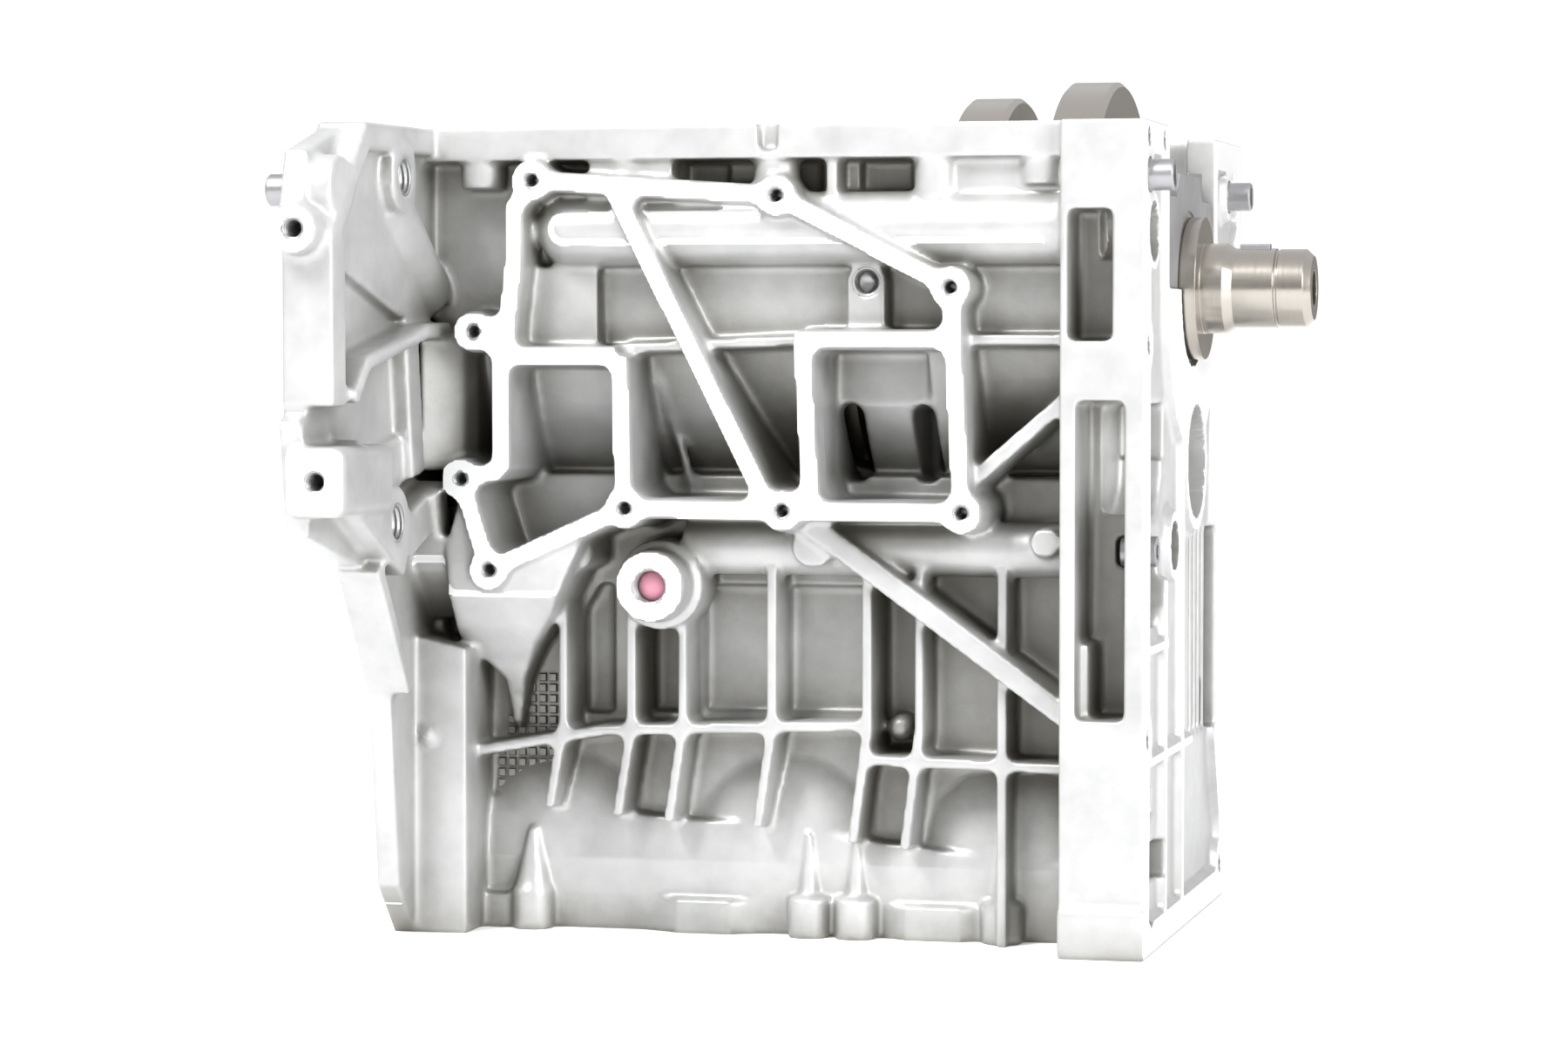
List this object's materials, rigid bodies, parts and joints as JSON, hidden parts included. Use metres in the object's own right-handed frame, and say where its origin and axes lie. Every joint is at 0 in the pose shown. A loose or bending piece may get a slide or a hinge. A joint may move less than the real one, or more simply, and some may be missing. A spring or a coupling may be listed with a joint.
{
  "type": "engine block",
  "caption": "Die-cast inline engine block standing on its head face, with the crankshaft turning in its main bearings.",
  "frame": {"origin": "on the cylinder-head face, at the axis of the middle cylinder", "axes": "+X along the crankshaft towards its nose, +Z along the cylinders towards the oil-pan rail, +Y away from the side that has the bolted cover face"},
  "size_m": [0.3138, 0.352, 0.2843],
  "materials": {
    "cast_aluminium": "satin",
    "liner_iron": "satin",
    "cap_iron": "satin",
    "bearing_metal": "satin",
    "bolt_steel": "satin",
    "plug_brass": "satin",
    "pink_plug": "matte",
    "crank_steel": "polished"
  },
  "bodies": {
    "block": {"cylinder_block": "cast_aluminium", "cylinder_liner_1": "liner_iron", "cylinder_liner_2": "liner_iron", "cylinder_liner_3": "liner_iron", "main_cap_1": "cap_iron", "main_cap_2": "cap_iron", "main_cap_3": "cap_iron", "main_cap_4": "cap_iron", "upper_main_shell_1": "bearing_metal", "upper_main_shell_2": "bearing_metal", "upper_main_shell_3": "bearing_metal", "upper_main_shell_4": "bearing_metal", "lower_main_shell_1": "bearing_metal", "lower_main_shell_2": "bearing_metal", "lower_main_shell_3": "bearing_metal", "lower_main_shell_4": "bearing_metal", "main_cap_bolts": "bolt_steel", "thrust_washers": "bearing_metal", "gearbox_dowels": "bolt_steel", "timing_dowels": "bolt_steel", "core_plugs": "plug_brass", "gallery_plugs": "bolt_steel", "port_plug": "pink_plug"},
    "crank": {"crankshaft": "crank_steel", "nose_key": "bolt_steel", "flywheel_dowel": "bolt_steel"}
  },
  "joints": [
    {"name": "crank_spin", "type": "hinge", "parent": "block", "child": "crank", "pos_m": [0, 0, 0.2146], "axis": [1, 0, 0], "continuous": true}
  ]
}
